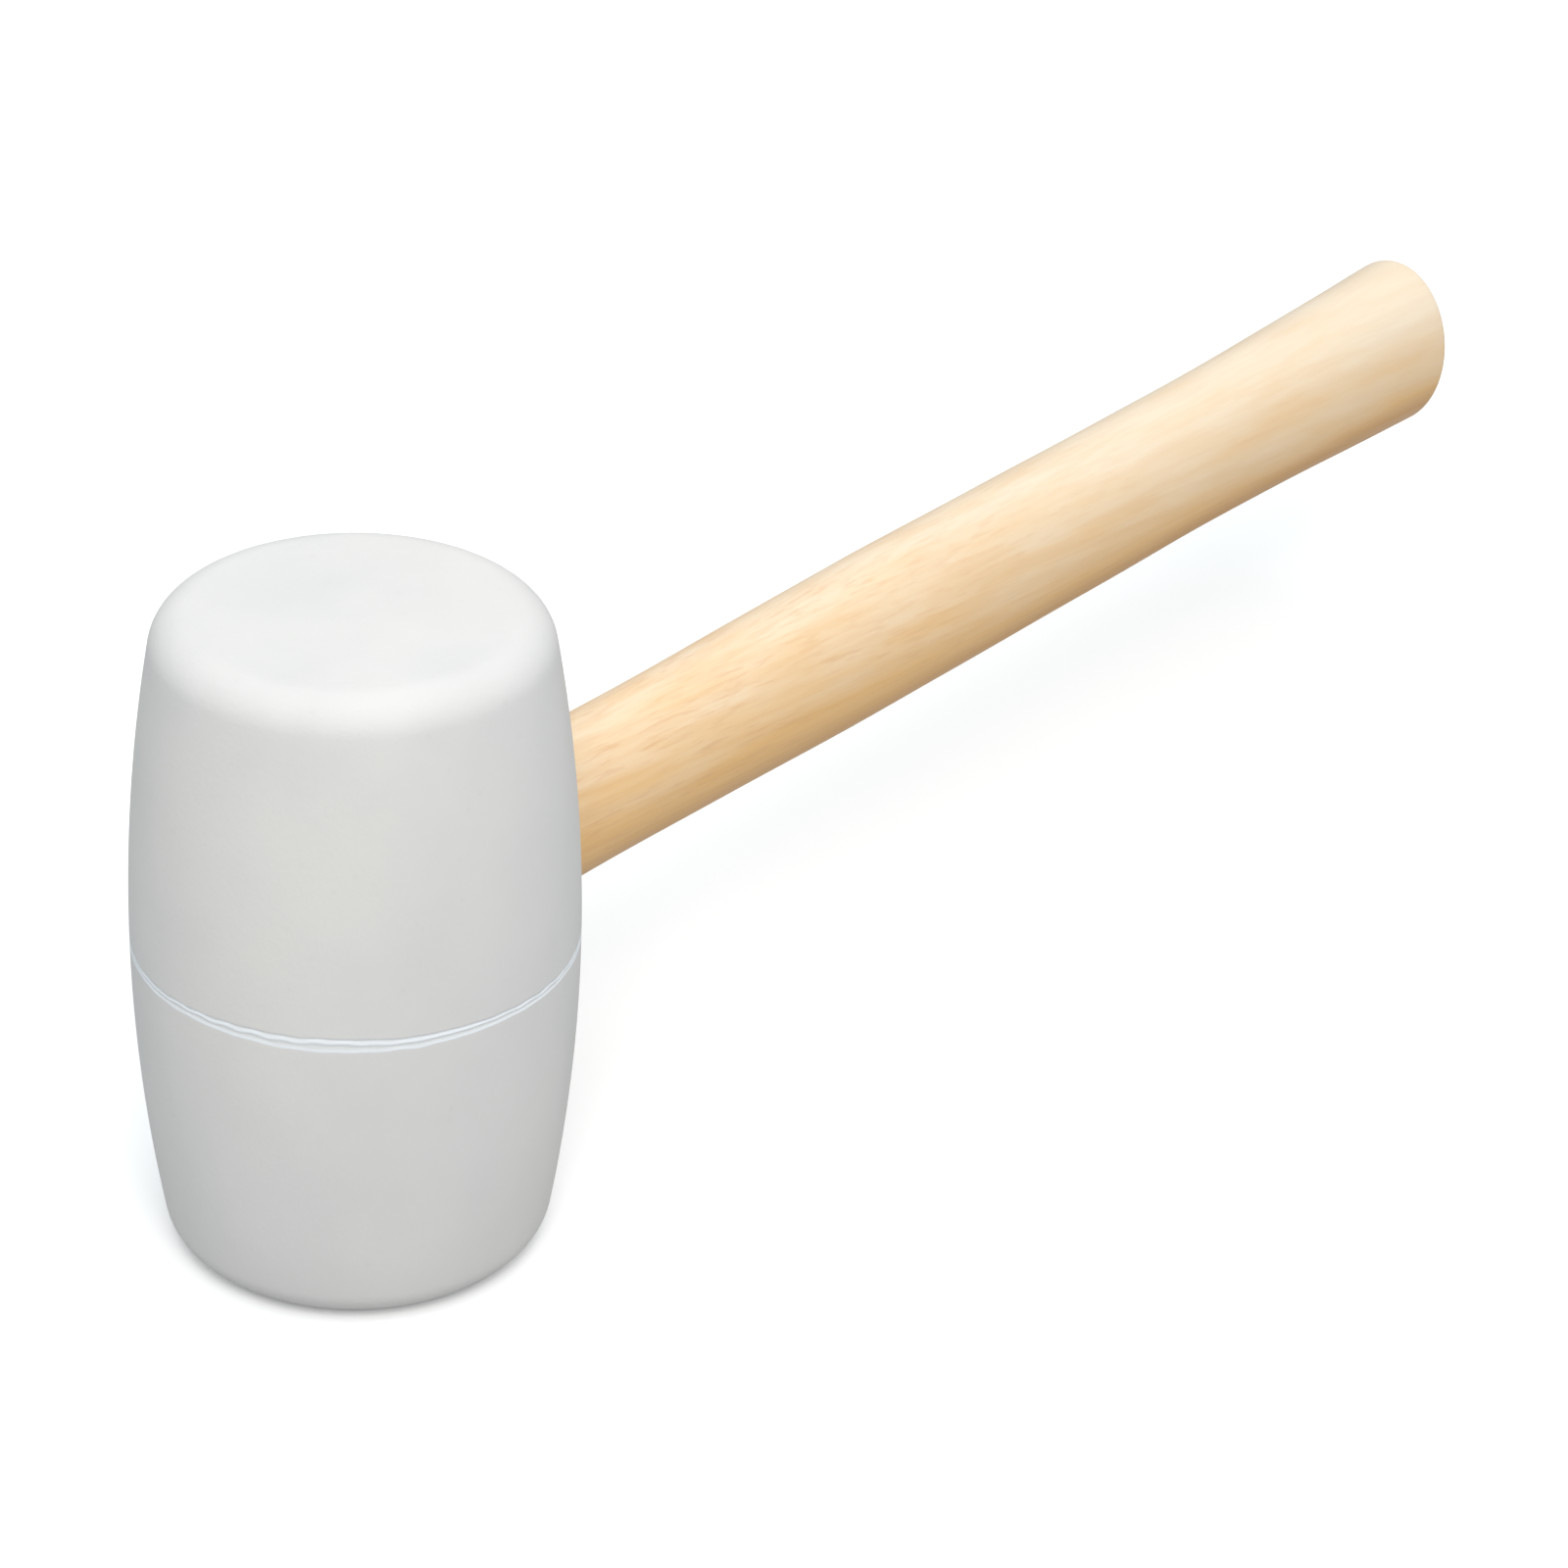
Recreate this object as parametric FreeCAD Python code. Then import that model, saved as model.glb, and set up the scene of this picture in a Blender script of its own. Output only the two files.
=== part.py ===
import FreeCAD, Part
import os

from FreeCAD import Matrix, Vector

# Rubber mallet: a moulded rubber barrel head on a turned beech handle.
# Millimetres. The origin is the centre of the lower striking face, +Z runs up the head's axis
# and +X runs along the handle, from the head to the butt.

# Driving dimensions of the head
head_height = 117.0
belly_diameter = 75.0
side_bulge = 5.5  # how far the belly stands out beyond the faces, if their edges were left sharp
face_edge_radius = 7.0
parting_drop = 0.5  # how far the mould's parting line lies below mid height
parting_groove_width = 4.4
parting_groove_depth = 0.6
flash_width = 1.6  # the trimmed ribbon of moulding flash that stands in the groove
flash_height = 0.3

# Driving dimensions of the handle. Its section is an oval that is taller than it is wide, and
# heights are measured along the head's axis.
handle_rise = 1.25  # how far the handle's axis lies above mid height
handle_reach = 318.0  # head axis to the face of the butt
handle_width_ratio = 0.75  # width of the oval over its height
neck_height = 29.0
neck_length = 20.0  # straight stretch outside the head
swell_length = 88.0  # from the neck out to the grip's full height
grip_height = 31.4
flare_length = 84.0  # from the grip's full height out to the butt
butt_height = 36.0
butt_slope = 0.03  # rise over run of the flare where it meets the butt's rounded edge
butt_edge_length = 2.0  # along the handle
butt_edge_depth = 7.5  # down the butt's face

# Driving dimensions of the joint between head and handle
blind_wall = 13.2  # rubber between the socket's floor and the far side of the head
neck_engagement = 11.0  # full-size neck gripped by the mouth of the socket
cement_film = 0.25
tenon_end_chamfer = 1.2
ring_groove_count = 4
ring_groove_width = 1.6
ring_groove_depth = 0.8
kerf_length = 28.0
kerf_width = 1.6  # as sawn, which it still is at its root
wedge_thickness = 3.6  # at its thick end, by the socket's floor
wedge_tip_gap = 4.0  # kerf left empty beyond the wedge's tip
wedge_edge_gap = 3.0  # from the tenon's top and bottom to the wedge

# Sizes that follow from them
mid_height = head_height / 2
parting_height = mid_height - parting_drop
handle_axis_height = mid_height + handle_rise
belly_radius = belly_diameter / 2
face_radius = belly_radius - side_bulge
neck_radius = neck_height / 2
grip_radius = grip_height / 2
butt_radius = butt_height / 2
tenon_radius = neck_radius - cement_film
socket_floor_x = blind_wall - belly_radius
tenon_end_x = socket_floor_x + cement_film
shoulder_x = belly_radius - neck_engagement
neck_end_x = belly_radius + neck_length
grip_start_x = neck_end_x + swell_length
butt_edge_x = handle_reach - butt_edge_length
grip_end_x = butt_edge_x - flare_length
wedge_length = kerf_length - wedge_tip_gap
wedge_height = 2 * (tenon_radius - wedge_edge_gap)

x_axis = Vector(1, 0, 0)
z_axis = Vector(0, 0, 1)


def flat_point(distance, height):
    """Point of an outline in the XZ plane."""
    return Vector(distance, 0, height)


def line(start, end):
    """Straight edge between two points."""
    return Part.LineSegment(start, end).toShape()


def lines(points):
    """Straight edges from each point to the next."""
    return [line(start, end) for start, end in zip(points, points[1:])]


def curve(*poles):
    """Bezier edge that leaves and arrives along its first and last pair of poles."""
    bezier = Part.BezierCurve()
    bezier.setPoles(list(poles))
    return bezier.toShape()


def turned(edges, axis):
    """Solid turned from a closed outline in the XZ plane."""
    face = Part.Face(Part.Wire(edges))
    return face.revolve(Vector(0, 0, 0), axis, 360)


def turned_oval(edges):
    """Solid turned about the handle's axis, narrowed to its oval and lifted to its height."""
    narrowing = Matrix()
    narrowing.scale(1, handle_width_ratio, 1)
    solid = turned(edges, x_axis).transformGeometry(narrowing)
    solid.translate(z_axis * handle_axis_height)
    return solid


def one_solid(shape):
    """The single solid that a cut or a join leaves, refused if there are more or none."""
    if len(shape.Solids) != 1 or not shape.Solids[0].isValid():
        raise ValueError("the shape isn't one sound solid")
    return shape.Solids[0]


def barrel():
    """Barrel whose side is one arc from face to face, with rounded face edges."""
    foot = flat_point(face_radius, 0)
    belly = flat_point(belly_radius, mid_height)
    crown = flat_point(face_radius, head_height)
    side = Part.Arc(foot, belly, crown).toShape()
    base = line(flat_point(0, 0), foot)
    rest = lines([crown, flat_point(0, head_height), flat_point(0, 0)])
    solid = turned([base, side] + rest, z_axis)
    rims = [edge for edge in solid.Edges if is_rim(edge)]
    return solid.makeFillet(face_edge_radius, rims)


def is_rim(edge):
    """True for the two circles where the barrel's side meets a face."""
    box = edge.BoundBox
    level = box.ZLength < 0.01
    round_face = abs(box.XLength - 2 * face_radius) < 0.01
    return level and round_face


def parting_groove():
    """Ring to cut away: a V whose stated width is measured across the belly."""
    tip = flat_point(belly_radius - parting_groove_depth, parting_height)
    outside = belly_radius + parting_groove_depth
    upper = flat_point(outside, parting_height + parting_groove_width)
    lower = flat_point(outside, parting_height - parting_groove_width)
    return turned(lines([tip, upper, lower, tip]), z_axis)


def flash():
    """Flat ribbon that stands out of the parting groove's bottom."""
    root = belly_radius - parting_groove_depth - flash_height
    edge = belly_radius - parting_groove_depth + flash_height
    low = parting_height - flash_width / 2
    high = parting_height + flash_width / 2
    corners = [(root, low), (edge, low), (edge, high), (root, high), (root, low)]
    return turned(lines([flat_point(*corner) for corner in corners]), z_axis)


def socket_space():
    """Space that the socket's floor, its walls and the neck's full size enclose."""
    far = belly_radius * 2
    corners = [(socket_floor_x, 0), (socket_floor_x, neck_radius), (far, neck_radius), (far, 0)]
    points = [flat_point(*corner) for corner in corners]
    return turned_oval(lines(points + points[:1]))


def ring_groove_points():
    """Outline points of the ring grooves, spread evenly along the tenon."""
    spacing = (shoulder_x - tenon_end_x) / (ring_groove_count + 1)
    floor_radius = tenon_radius - ring_groove_depth
    points = []
    for number in range(1, ring_groove_count + 1):
        middle = tenon_end_x + number * spacing
        start = middle - ring_groove_width / 2
        end = middle + ring_groove_width / 2
        points += [flat_point(start, tenon_radius), flat_point(start, floor_radius)]
        points += [flat_point(end, floor_radius), flat_point(end, tenon_radius)]
    return points


def tenon_outline():
    """Edges from the tenon's end, past its grooves and shoulder, to the end of the neck."""
    points = [
        flat_point(tenon_end_x, 0),
        flat_point(tenon_end_x, tenon_radius - tenon_end_chamfer),
        flat_point(tenon_end_x + tenon_end_chamfer, tenon_radius),
    ]
    points += ring_groove_points()
    points += [
        flat_point(shoulder_x, tenon_radius),
        flat_point(shoulder_x, neck_radius),
        flat_point(neck_end_x, neck_radius),
    ]
    return lines(points)


def grip_outline():
    """Edges from the neck through the swell, the grip and the flare to the butt's centre."""
    neck_end = flat_point(neck_end_x, neck_radius)
    grip_start = flat_point(grip_start_x, grip_radius)
    grip_end = flat_point(grip_end_x, grip_radius)
    butt_edge = flat_point(butt_edge_x, butt_radius)
    face_edge = flat_point(handle_reach, butt_radius - butt_edge_depth)
    swell_step = x_axis * (swell_length / 3)
    flare_step = x_axis * (flare_length / 3)
    flare_arrival = Vector(flare_length / 3, 0, butt_slope * flare_length / 3)
    corner = flat_point(handle_reach, butt_radius + butt_slope * butt_edge_length)
    swell = curve(neck_end, neck_end + swell_step, grip_start - swell_step, grip_start)
    flare = curve(grip_end, grip_end + flare_step, butt_edge - flare_arrival, butt_edge)
    rounding = curve(butt_edge, corner, face_edge)
    closing = lines([face_edge, flat_point(handle_reach, 0), flat_point(tenon_end_x, 0)])
    return [swell, line(grip_start, grip_end), flare, rounding] + closing


def tapered_block(length, height):
    """Block on the tenon's end whose sides keep the slope of the wedged-open kerf."""
    thick = wedge_thickness / 2
    thin = thick - (thick - kerf_width / 2) * length / kerf_length
    bottom = handle_axis_height - height / 2
    corners = [(0, -thick), (length, -thin), (length, thin), (0, thick), (0, -thick)]
    points = [Vector(tenon_end_x + run, side, bottom) for run, side in corners]
    return Part.Face(Part.makePolygon(points)).extrude(z_axis * height)


def handle():
    """Beech handle with its tenon sawn and spread by the wedge."""
    blank = turned_oval(tenon_outline() + grip_outline())
    kerf = tapered_block(kerf_length, neck_height)
    return one_solid(blank.cut(kerf))


def fox_wedge():
    """Hardwood wedge that fills the kerf up to just short of its root."""
    return one_solid(tapered_block(wedge_length, wedge_height))


def rubber_head():
    """Rubber barrel with its parting groove, flash and blind socket."""
    body = barrel().cut(parting_groove())
    body = body.fuse(flash())
    return one_solid(body.cut(socket_space()))


def cement(handle_solid, wedge_solid):
    """Cured cement: what the tenon and its wedge leave of the socket's inner length."""
    reach = shoulder_x - socket_floor_x
    size = 2 * neck_height
    start = Vector(socket_floor_x, -size / 2, handle_axis_height - size / 2)
    inner_length = Part.makeBox(reach, size, size, start)
    filling = socket_space().common(inner_length)
    return one_solid(filling.cut(handle_solid).cut(wedge_solid))


def main():
    os.makedirs("parts", exist_ok=True)
    handle_solid = handle()
    wedge_solid = fox_wedge()
    nodes = {
        "rubber_head": rubber_head(),
        "handle": handle_solid,
        "fox_wedge": wedge_solid,
        "cement": cement(handle_solid, wedge_solid),
    }
    for name, solid in nodes.items():
        solid.exportStep(f"parts/{name}.step")
        print(name, round(solid.Volume / 1000, 2), "cm3")


main()
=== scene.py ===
"""Rubber mallet: a white moulded rubber head on a turned beech handle.

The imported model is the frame. The head and the handle are new surfaces that stand for their CAD
nodes. The fox wedge and the cement, which the head hides, keep their CAD shape.
"""

import math

import bpy
import numpy as np
from mathutils import Matrix, Vector


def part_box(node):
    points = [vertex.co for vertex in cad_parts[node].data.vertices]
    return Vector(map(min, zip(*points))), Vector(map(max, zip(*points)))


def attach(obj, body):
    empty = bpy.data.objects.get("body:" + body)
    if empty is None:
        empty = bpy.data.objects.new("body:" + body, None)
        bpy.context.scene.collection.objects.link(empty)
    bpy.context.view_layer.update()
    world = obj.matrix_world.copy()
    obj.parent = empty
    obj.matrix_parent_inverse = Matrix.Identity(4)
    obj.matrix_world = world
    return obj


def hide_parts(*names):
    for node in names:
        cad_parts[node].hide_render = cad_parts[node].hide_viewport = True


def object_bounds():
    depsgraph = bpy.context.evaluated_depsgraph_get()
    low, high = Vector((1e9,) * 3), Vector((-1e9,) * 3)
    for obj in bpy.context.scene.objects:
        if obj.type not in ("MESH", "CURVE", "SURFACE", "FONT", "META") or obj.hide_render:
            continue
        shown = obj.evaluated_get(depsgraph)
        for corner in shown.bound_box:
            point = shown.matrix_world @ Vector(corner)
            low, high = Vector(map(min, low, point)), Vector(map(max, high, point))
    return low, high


bl_info = {
    "name": "Rubber mallet",
    "version": (1, 0, 0),
    "blender": (4, 5, 0),
    "location": "3D View > Sidebar > Mallet",
    "description": "Builds a rubber mallet with a moulded head and a turned beech handle",
    "category": "Add Mesh",
}

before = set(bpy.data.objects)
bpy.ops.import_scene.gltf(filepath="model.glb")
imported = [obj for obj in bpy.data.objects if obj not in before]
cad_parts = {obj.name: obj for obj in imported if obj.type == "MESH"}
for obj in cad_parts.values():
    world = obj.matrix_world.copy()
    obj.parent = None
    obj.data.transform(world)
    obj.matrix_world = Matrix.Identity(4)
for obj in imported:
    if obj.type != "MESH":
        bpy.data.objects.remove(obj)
CAD_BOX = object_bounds()
HEAD_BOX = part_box("rubber_head")
HANDLE_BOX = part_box("handle")
WEDGE_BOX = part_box("fox_wedge")
BODY = "root"
MM = 0.001
FULL_TURN = 2 * math.pi


# ---------------------------------------------------------------- settings

def length(name, description, millimetres):
    """Property for a length, whose default is given in millimetres."""
    return bpy.props.FloatProperty(
        name=name, description=description, default=millimetres * MM, subtype="DISTANCE", unit="LENGTH"
    )


def share(name, description, value):
    """Property for a share between 0 and 1."""
    return bpy.props.FloatProperty(name=name, description=description, default=value, subtype="FACTOR")


def colour(name, description, red, green, blue):
    """Property for a colour, as linear light."""
    return bpy.props.FloatVectorProperty(
        name=name, description=description, default=(red, green, blue), size=3, subtype="COLOR"
    )


def angle(name, description, degrees):
    """Property for an angle, whose default is given in degrees."""
    return bpy.props.FloatProperty(
        name=name, description=description, default=math.radians(degrees), subtype="ANGLE"
    )


def power(name, description, watts):
    """Property for a lamp's power."""
    return bpy.props.FloatProperty(name=name, description=description, default=watts, unit="POWER")


class HeadSettings(bpy.types.PropertyGroup):
    """Sizes and colours of the rubber head."""

    side_bulge: length("Side bulge", "How far the belly stands out beyond the faces' sharp edge", 5.5)
    edge_radius: length("Edge radius", "Rounding of each striking face's edge", 7.0)
    parting_drop: length("Parting drop", "How far the parting line lies below mid height", 0.5)
    trim_width: length("Trim width", "Width of the trimmed flash at its narrowest", 1.5)
    trim_spread: length("Trim spread", "What the widest stretch of trimmed flash adds to that", 1.2)
    trim_depth: length("Trim depth", "How deep the knife cut under the barrel", 0.36)
    lip_radius: length("Lip radius", "Rounding of the socket's mouth", 0.5)
    rubber: colour("Rubber", "Colour of the moulded rubber", 0.71, 0.7, 0.685)
    # Paler, cooler colour of the cut band: partly the cut rubber's tone, partly painted highlight.
    cut_rubber_and_highlight: colour("Cut rubber", "Colour of the rubber where the flash was trimmed", 0.79, 0.82, 0.85)
    grime: colour("Grime", "Colour of the faint specks in the rubber", 0.5, 0.5, 0.47)


class HandleSettings(bpy.types.PropertyGroup):
    """Sizes and colours of the handle and of what fixes it in the head."""

    neck_height: length("Neck height", "Height of the oval neck and of the socket", 29.0)
    neck_length: length("Neck length", "Straight stretch outside the head", 20.0)
    neck_engagement: length("Neck engagement", "Full-size neck inside the head", 11.0)
    swell_length: length("Swell length", "From the neck out to the grip's full height", 88.0)
    grip_height: length("Grip height", "Height of the oval grip", 31.4)
    flare_length: length("Flare length", "From the grip's full height out to the butt", 84.0)
    butt_edge_length: length("Butt edge length", "Rounding of the butt's edge, along the handle", 2.0)
    butt_edge_depth: length("Butt edge depth", "Rounding of the butt's edge, down its face", 7.5)
    cement_film: length("Cement film", "Cement between the tenon and its socket", 0.25)
    kerf_length: length("Kerf length", "Depth of the saw cut in the tenon", 28.0)
    kerf_width: length("Kerf width", "Width of the saw cut at its root", 1.6)
    # Pale colour of the handle's upper side: partly the wood's tone, partly painted sheen.
    pale_wood_and_sheen: colour("Pale wood", "Sapwood along the handle's upper side", 0.9, 0.75, 0.57)
    warm_wood: colour("Warm wood", "Wood along the handle's lower side", 0.86, 0.53, 0.22)
    # Dark wood for the real rings and fibres, and also the painted shade along the handle's lower edge.
    dark_wood_and_shade: colour("Dark wood", "Growth rings, fibres and the handle's lower edge", 0.7, 0.37, 0.115)
    fleck: colour("Fleck", "Colour of the short ray flecks", 0.72, 0.4, 0.19)
    grain_slope: angle("Grain slope", "How far the grain runs down towards the butt", 4.0)
    wedge_wood: colour("Wedge wood", "Colour of the hardwood wedge", 0.34, 0.17, 0.08)
    cement: colour("Cement", "Colour of the cured cement", 0.6, 0.42, 0.16)


class StudioSettings(bpy.types.PropertyGroup):
    """Camera, floor and light."""

    azimuth: angle("Azimuth", "Where the camera stands round the mallet", -52.17)
    elevation: angle("Elevation", "How far the camera looks down", 29.47)
    roll: angle("Roll", "How far the camera leans to its left", 2.24)
    distance: length("Distance", "From the camera to what it looks at", 905.9)
    look_at: bpy.props.FloatVectorProperty(
        name="Look at",
        description="Point that the camera looks at, from the middle of the mallet's box",
        default=(-0.02578, 0.0, -0.0215),
        size=3,
        subtype="TRANSLATION",
    )
    lens: bpy.props.FloatProperty(
        name="Lens", description="Focal length in millimetres on a 36 mm sensor", default=112.7
    )
    floor: colour("Floor", "Colour of the pale floor", 0.97, 0.97, 0.97)
    bounce: share("Bounce", "How much of its colour the floor keeps in the light that it reflects", 0.55)
    glow: share("Glow", "Light of the floor itself, which washes out the mallet's shadow", 0.14)
    surround: share("Surround", "Brightness of the pale room round the mallet", 0.59)
    room: colour("Room", "Colour of the room's light", 0.92, 1.0, 1.05)
    overhead: power("Overhead", "Power of the softbox over the mallet", 7.7)
    overhead_colour: colour("Overhead colour", "Colour of the softbox over the mallet", 1.0, 1.0, 1.0)
    front: power("Front", "Power of the softbox over the camera", 14.9)
    front_colour: colour("Front colour", "Colour of the softbox over the camera", 1.05, 1.0, 0.95)


# ---------------------------------------------------------------- meshes

def mesh_piece(name, points, faces, material):
    """Object with a smooth mesh of these points and faces, riding on the mallet's one body."""
    mesh = bpy.data.meshes.new(name)
    mesh.from_pydata(points.tolist(), [], [face for group in faces for face in group.tolist()])
    mesh.polygons.foreach_set("use_smooth", np.ones(len(mesh.polygons), bool))
    mesh.materials.append(material)
    mesh.update()
    piece = bpy.data.objects.new(name, mesh)
    bpy.context.scene.collection.objects.link(piece)
    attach(piece, BODY)
    return piece


def set_attribute(piece, name, values):
    """Stores one number per point, for the material to read."""
    attribute = piece.data.attributes.new(name, "FLOAT", "POINT")
    attribute.data.foreach_set("value", np.asarray(values, np.float32).ravel())


def strip_faces(loops):
    """Quads between each row of point numbers and the next, taken in the order given."""
    low, high = loops[:-1], loops[1:]
    corners = (low[:, :-1], low[:, 1:], high[:, 1:], high[:, :-1])
    return np.stack(corners, -1).reshape(-1, 4)


def fan_faces(loop, centre):
    """Triangles from each pair of neighbours on a loop to one centre point."""
    first, second = loop[:-1], loop[1:]
    return np.stack((first, second, np.full_like(first, centre)), -1)


def closed(loops):
    """Rows of point numbers with each row's first number repeated at its end."""
    return np.concatenate((loops, loops[:, :1]), 1)


def ease(share_along):
    """Rise from 0 to 1 that starts and ends level: three times the square less twice the cube."""
    t = np.clip(share_along, 0, 1)
    return t * t * (3 - 2 * t)


def bump(distance, width):
    """Bell that is 1 at no distance and falls off as the square over the width squared, as exp."""
    return np.exp(-((distance / width) ** 2))


def wander(turn, seed, waves, size):
    """Smooth seeded wobble round a circle: a sum of sines with whole numbers of waves."""
    sines = 12
    random = np.random.default_rng(seed)
    counts = random.integers(*waves, sines)
    starts = random.uniform(0, FULL_TURN, sines)
    heights = random.normal(0, 1, sines) / math.sqrt(sines)
    return size * np.sum(heights * np.sin(counts * turn[..., None] + starts), -1)


# ---------------------------------------------------------------- rubber head

def head_sizes(settings, handle):
    """Sizes of the head that come from its box and its settings."""
    low, high = HEAD_BOX
    sizes = {"foot": low.z, "top": high.z, "edge": settings.edge_radius}
    sizes["belly"] = min(-low.x, -low.y, high.y)
    sizes["middle"] = (low.z + high.z) / 2
    half = (high.z - low.z) / 2
    sizes["arc"] = (half**2 + settings.side_bulge**2) / (2 * settings.side_bulge)
    reach = math.sqrt((sizes["arc"] - sizes["edge"]) ** 2 - (half - sizes["edge"]) ** 2)
    sizes["flat"] = sizes["belly"] - sizes["arc"] + reach
    sizes["edge_turn"] = math.asin((half - sizes["edge"]) / (sizes["arc"] - sizes["edge"]))
    sizes["side_half"] = sizes["arc"] * math.sin(sizes["edge_turn"])
    sizes["parting"] = sizes["middle"] - settings.parting_drop
    sizes["hole_height"] = handle.neck_height / 2 + settings.lip_radius
    sizes["hole_width"] = handle_width(handle.neck_height) / 2 + settings.lip_radius
    sizes["hole_middle"] = (HANDLE_BOX[0].z + HANDLE_BOX[1].z) / 2
    return sizes


def handle_width(height):
    """Width of the handle's oval at this height: the butt's own share of width to height."""
    low, high = HANDLE_BOX
    return height * (high.y - low.y) / (high.z - low.z)


def barrel_radius(height, sizes):
    """Radius of the barrel's side: an arc that is widest at mid height."""
    run = height - sizes["middle"]
    return sizes["belly"] - sizes["arc"] + np.sqrt(sizes["arc"] ** 2 - run**2)


def spread_rows(low, high, count, crowd):
    """Numbers from low to high, set closer where crowd is larger: the running sum of crowd,
    read backwards at even steps."""
    fine = np.linspace(low, high, 4000)
    total = np.cumsum(crowd(fine))
    total = (total - total[0]) / (total[-1] - total[0])
    return np.interp(np.linspace(0, 1, count), total, fine)


def side_rows(sizes):
    """Heights of the rows up the barrel's side, and the first and last row of the socket's
    mouth. Rows crowd at the parting line and at the mouth's top and bottom."""
    half = sizes["hole_height"]
    low, high = sizes["middle"] - sizes["side_half"], sizes["middle"] + sizes["side_half"]
    mouth_low, mouth_high = sizes["hole_middle"] - half, sizes["hole_middle"] + half

    def below(height):
        return 1 + 6 * bump(height - mouth_low, 4 * MM)

    def across(turn):
        height = sizes["hole_middle"] + half * np.sin(turn)
        return 1 + 9 * bump(height - sizes["parting"], 2.3 * MM)

    def above(height):
        return 1 + 6 * bump(height - mouth_high, 4 * MM)

    lower = spread_rows(low, mouth_low, 30, below)
    turns = spread_rows(-math.pi / 2, math.pi / 2, 112, across)
    middle = sizes["hole_middle"] + half * np.sin(turns)
    upper = spread_rows(mouth_high, high, 30, above)
    rows = np.concatenate((lower[:-1], middle, upper[1:]))
    return rows, len(lower) - 1, len(lower) + len(middle) - 2


def trim_share(turn):
    """How wide the knife cut the flash at each angle round the head, from 0 to 1: two broad
    shavings, each a squared cosine, of which one is on the far side."""
    near_middle, near_reach = math.radians(215), math.radians(60)
    far_middle, far_share = math.radians(35), 0.6
    near = np.clip(np.cos((turn - near_middle) * 1.4), 0, 1) ** 2
    near = near * (np.abs(turn - near_middle) < near_reach)
    far = np.clip(np.cos(turn - far_middle), 0, 1) ** 2
    return near + far_share * far


def tooth(down, start, end):
    """Sawtooth that drops to 1 over the first 0.4 of its length and slopes back to 0."""
    along = np.clip((down - start) / (end - start), 0, 1)
    return ease(along / 0.4) * (1 - ease((along - 0.3) / 0.7))


def trimmed_flash(turn, height, settings, sizes):
    """Depth of the parting line under the barrel, and how much of the cut band's tone and painted
    highlight shows.

    A knife trimmed the flash in two passes. Each left a shallow step and a facet that slopes
    out below it to a fine raised burr. The cut band is paler partly from the cut rubber's tone
    and partly from painted highlight, and the burrs carry the most, as painted highlight."""
    share_wide = trim_share(turn)
    width = settings.trim_width + settings.trim_spread * share_wide
    width = width + wander(turn, 11, (5, 60), 0.12 * MM)
    dip = 0.6 * MM * bump(turn - math.radians(150), math.radians(30))
    top = sizes["parting"] + width / 2 - dip + wander(turn, 12, (3, 40), 0.1 * MM)
    down = (top - height) / width
    ridge = 0.42 + wander(turn, 13, (6, 50), 0.05)
    depth = tooth(down, 0, ridge) + 0.6 * tooth(down, ridge, 1)
    depth = settings.trim_depth * (1 - 0.4 * share_wide) * depth
    depth = depth * (1 + wander(turn, 14, (9, 70), 0.15))
    cut = ease((down + 0.04) / 0.1) * ease((1.04 - down) / 0.1)
    # Painted highlight along the two burrs, where the light overhead catches them.
    burrs = bump(down - ridge + 0.06, 0.14) + bump(down - 0.9, 0.1)
    narrow = 1 - 0.35 * share_wide
    return depth, np.clip(0.4 * cut + narrow * burrs, 0, 1)


def face_points(sizes, at_top, columns):
    """One striking face and its rounded edge as rows of radius and height, from the centre out:
    even steps over the flat and then a quarter turn of the edge's circle."""
    radii = np.linspace(0, sizes["flat"], 12)[1:]
    turns = np.linspace(-math.pi / 2, -sizes["edge_turn"], 14)[1:-1]
    edge_radii = sizes["flat"] + sizes["edge"] * np.cos(turns)
    edge_heights = sizes["edge"] * (1 + np.sin(turns))
    radius = np.concatenate((radii, edge_radii))
    height = np.concatenate((np.zeros(len(radii)), edge_heights))
    level = sizes["top"] - height if at_top else sizes["foot"] + height
    turn = np.linspace(0, FULL_TURN, columns + 1)
    radius, level = radius[:, None], level[:, None]
    rows = np.broadcast_arrays(radius * np.cos(turn), radius * np.sin(turn), level)
    return np.stack(rows, -1)


def side_points(settings, sizes, columns):
    """The barrel's side as a grid of angle and height, slit along the handle's side.

    Each row runs once round. Where the row crosses the socket's mouth it starts and ends on the
    mouth's oval, and the columns close to the slit are pushed aside by an eased share."""
    rows, first, last = side_rows(sizes)
    lift = np.clip((rows - sizes["hole_middle"]) / sizes["hole_height"], -1, 1)
    half_width = sizes["hole_width"] * np.sqrt(1 - lift**2)
    half_turn = np.arcsin(half_width / barrel_radius(rows, sizes))
    turn = np.linspace(0, FULL_TURN, columns + 1)[None, :]
    reach = math.radians(45)
    push = half_turn[:, None] * (ease(1 - turn / reach) - ease(1 - (FULL_TURN - turn) / reach))
    turn = turn + push
    height = np.repeat(rows[:, None], columns + 1, 1)
    depth, mask = trimmed_flash(turn, height, settings, sizes)
    radius = barrel_radius(height, sizes) - depth
    points = np.stack((radius * np.cos(turn), radius * np.sin(turn), height), -1)
    return points, mask, first, last


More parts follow.
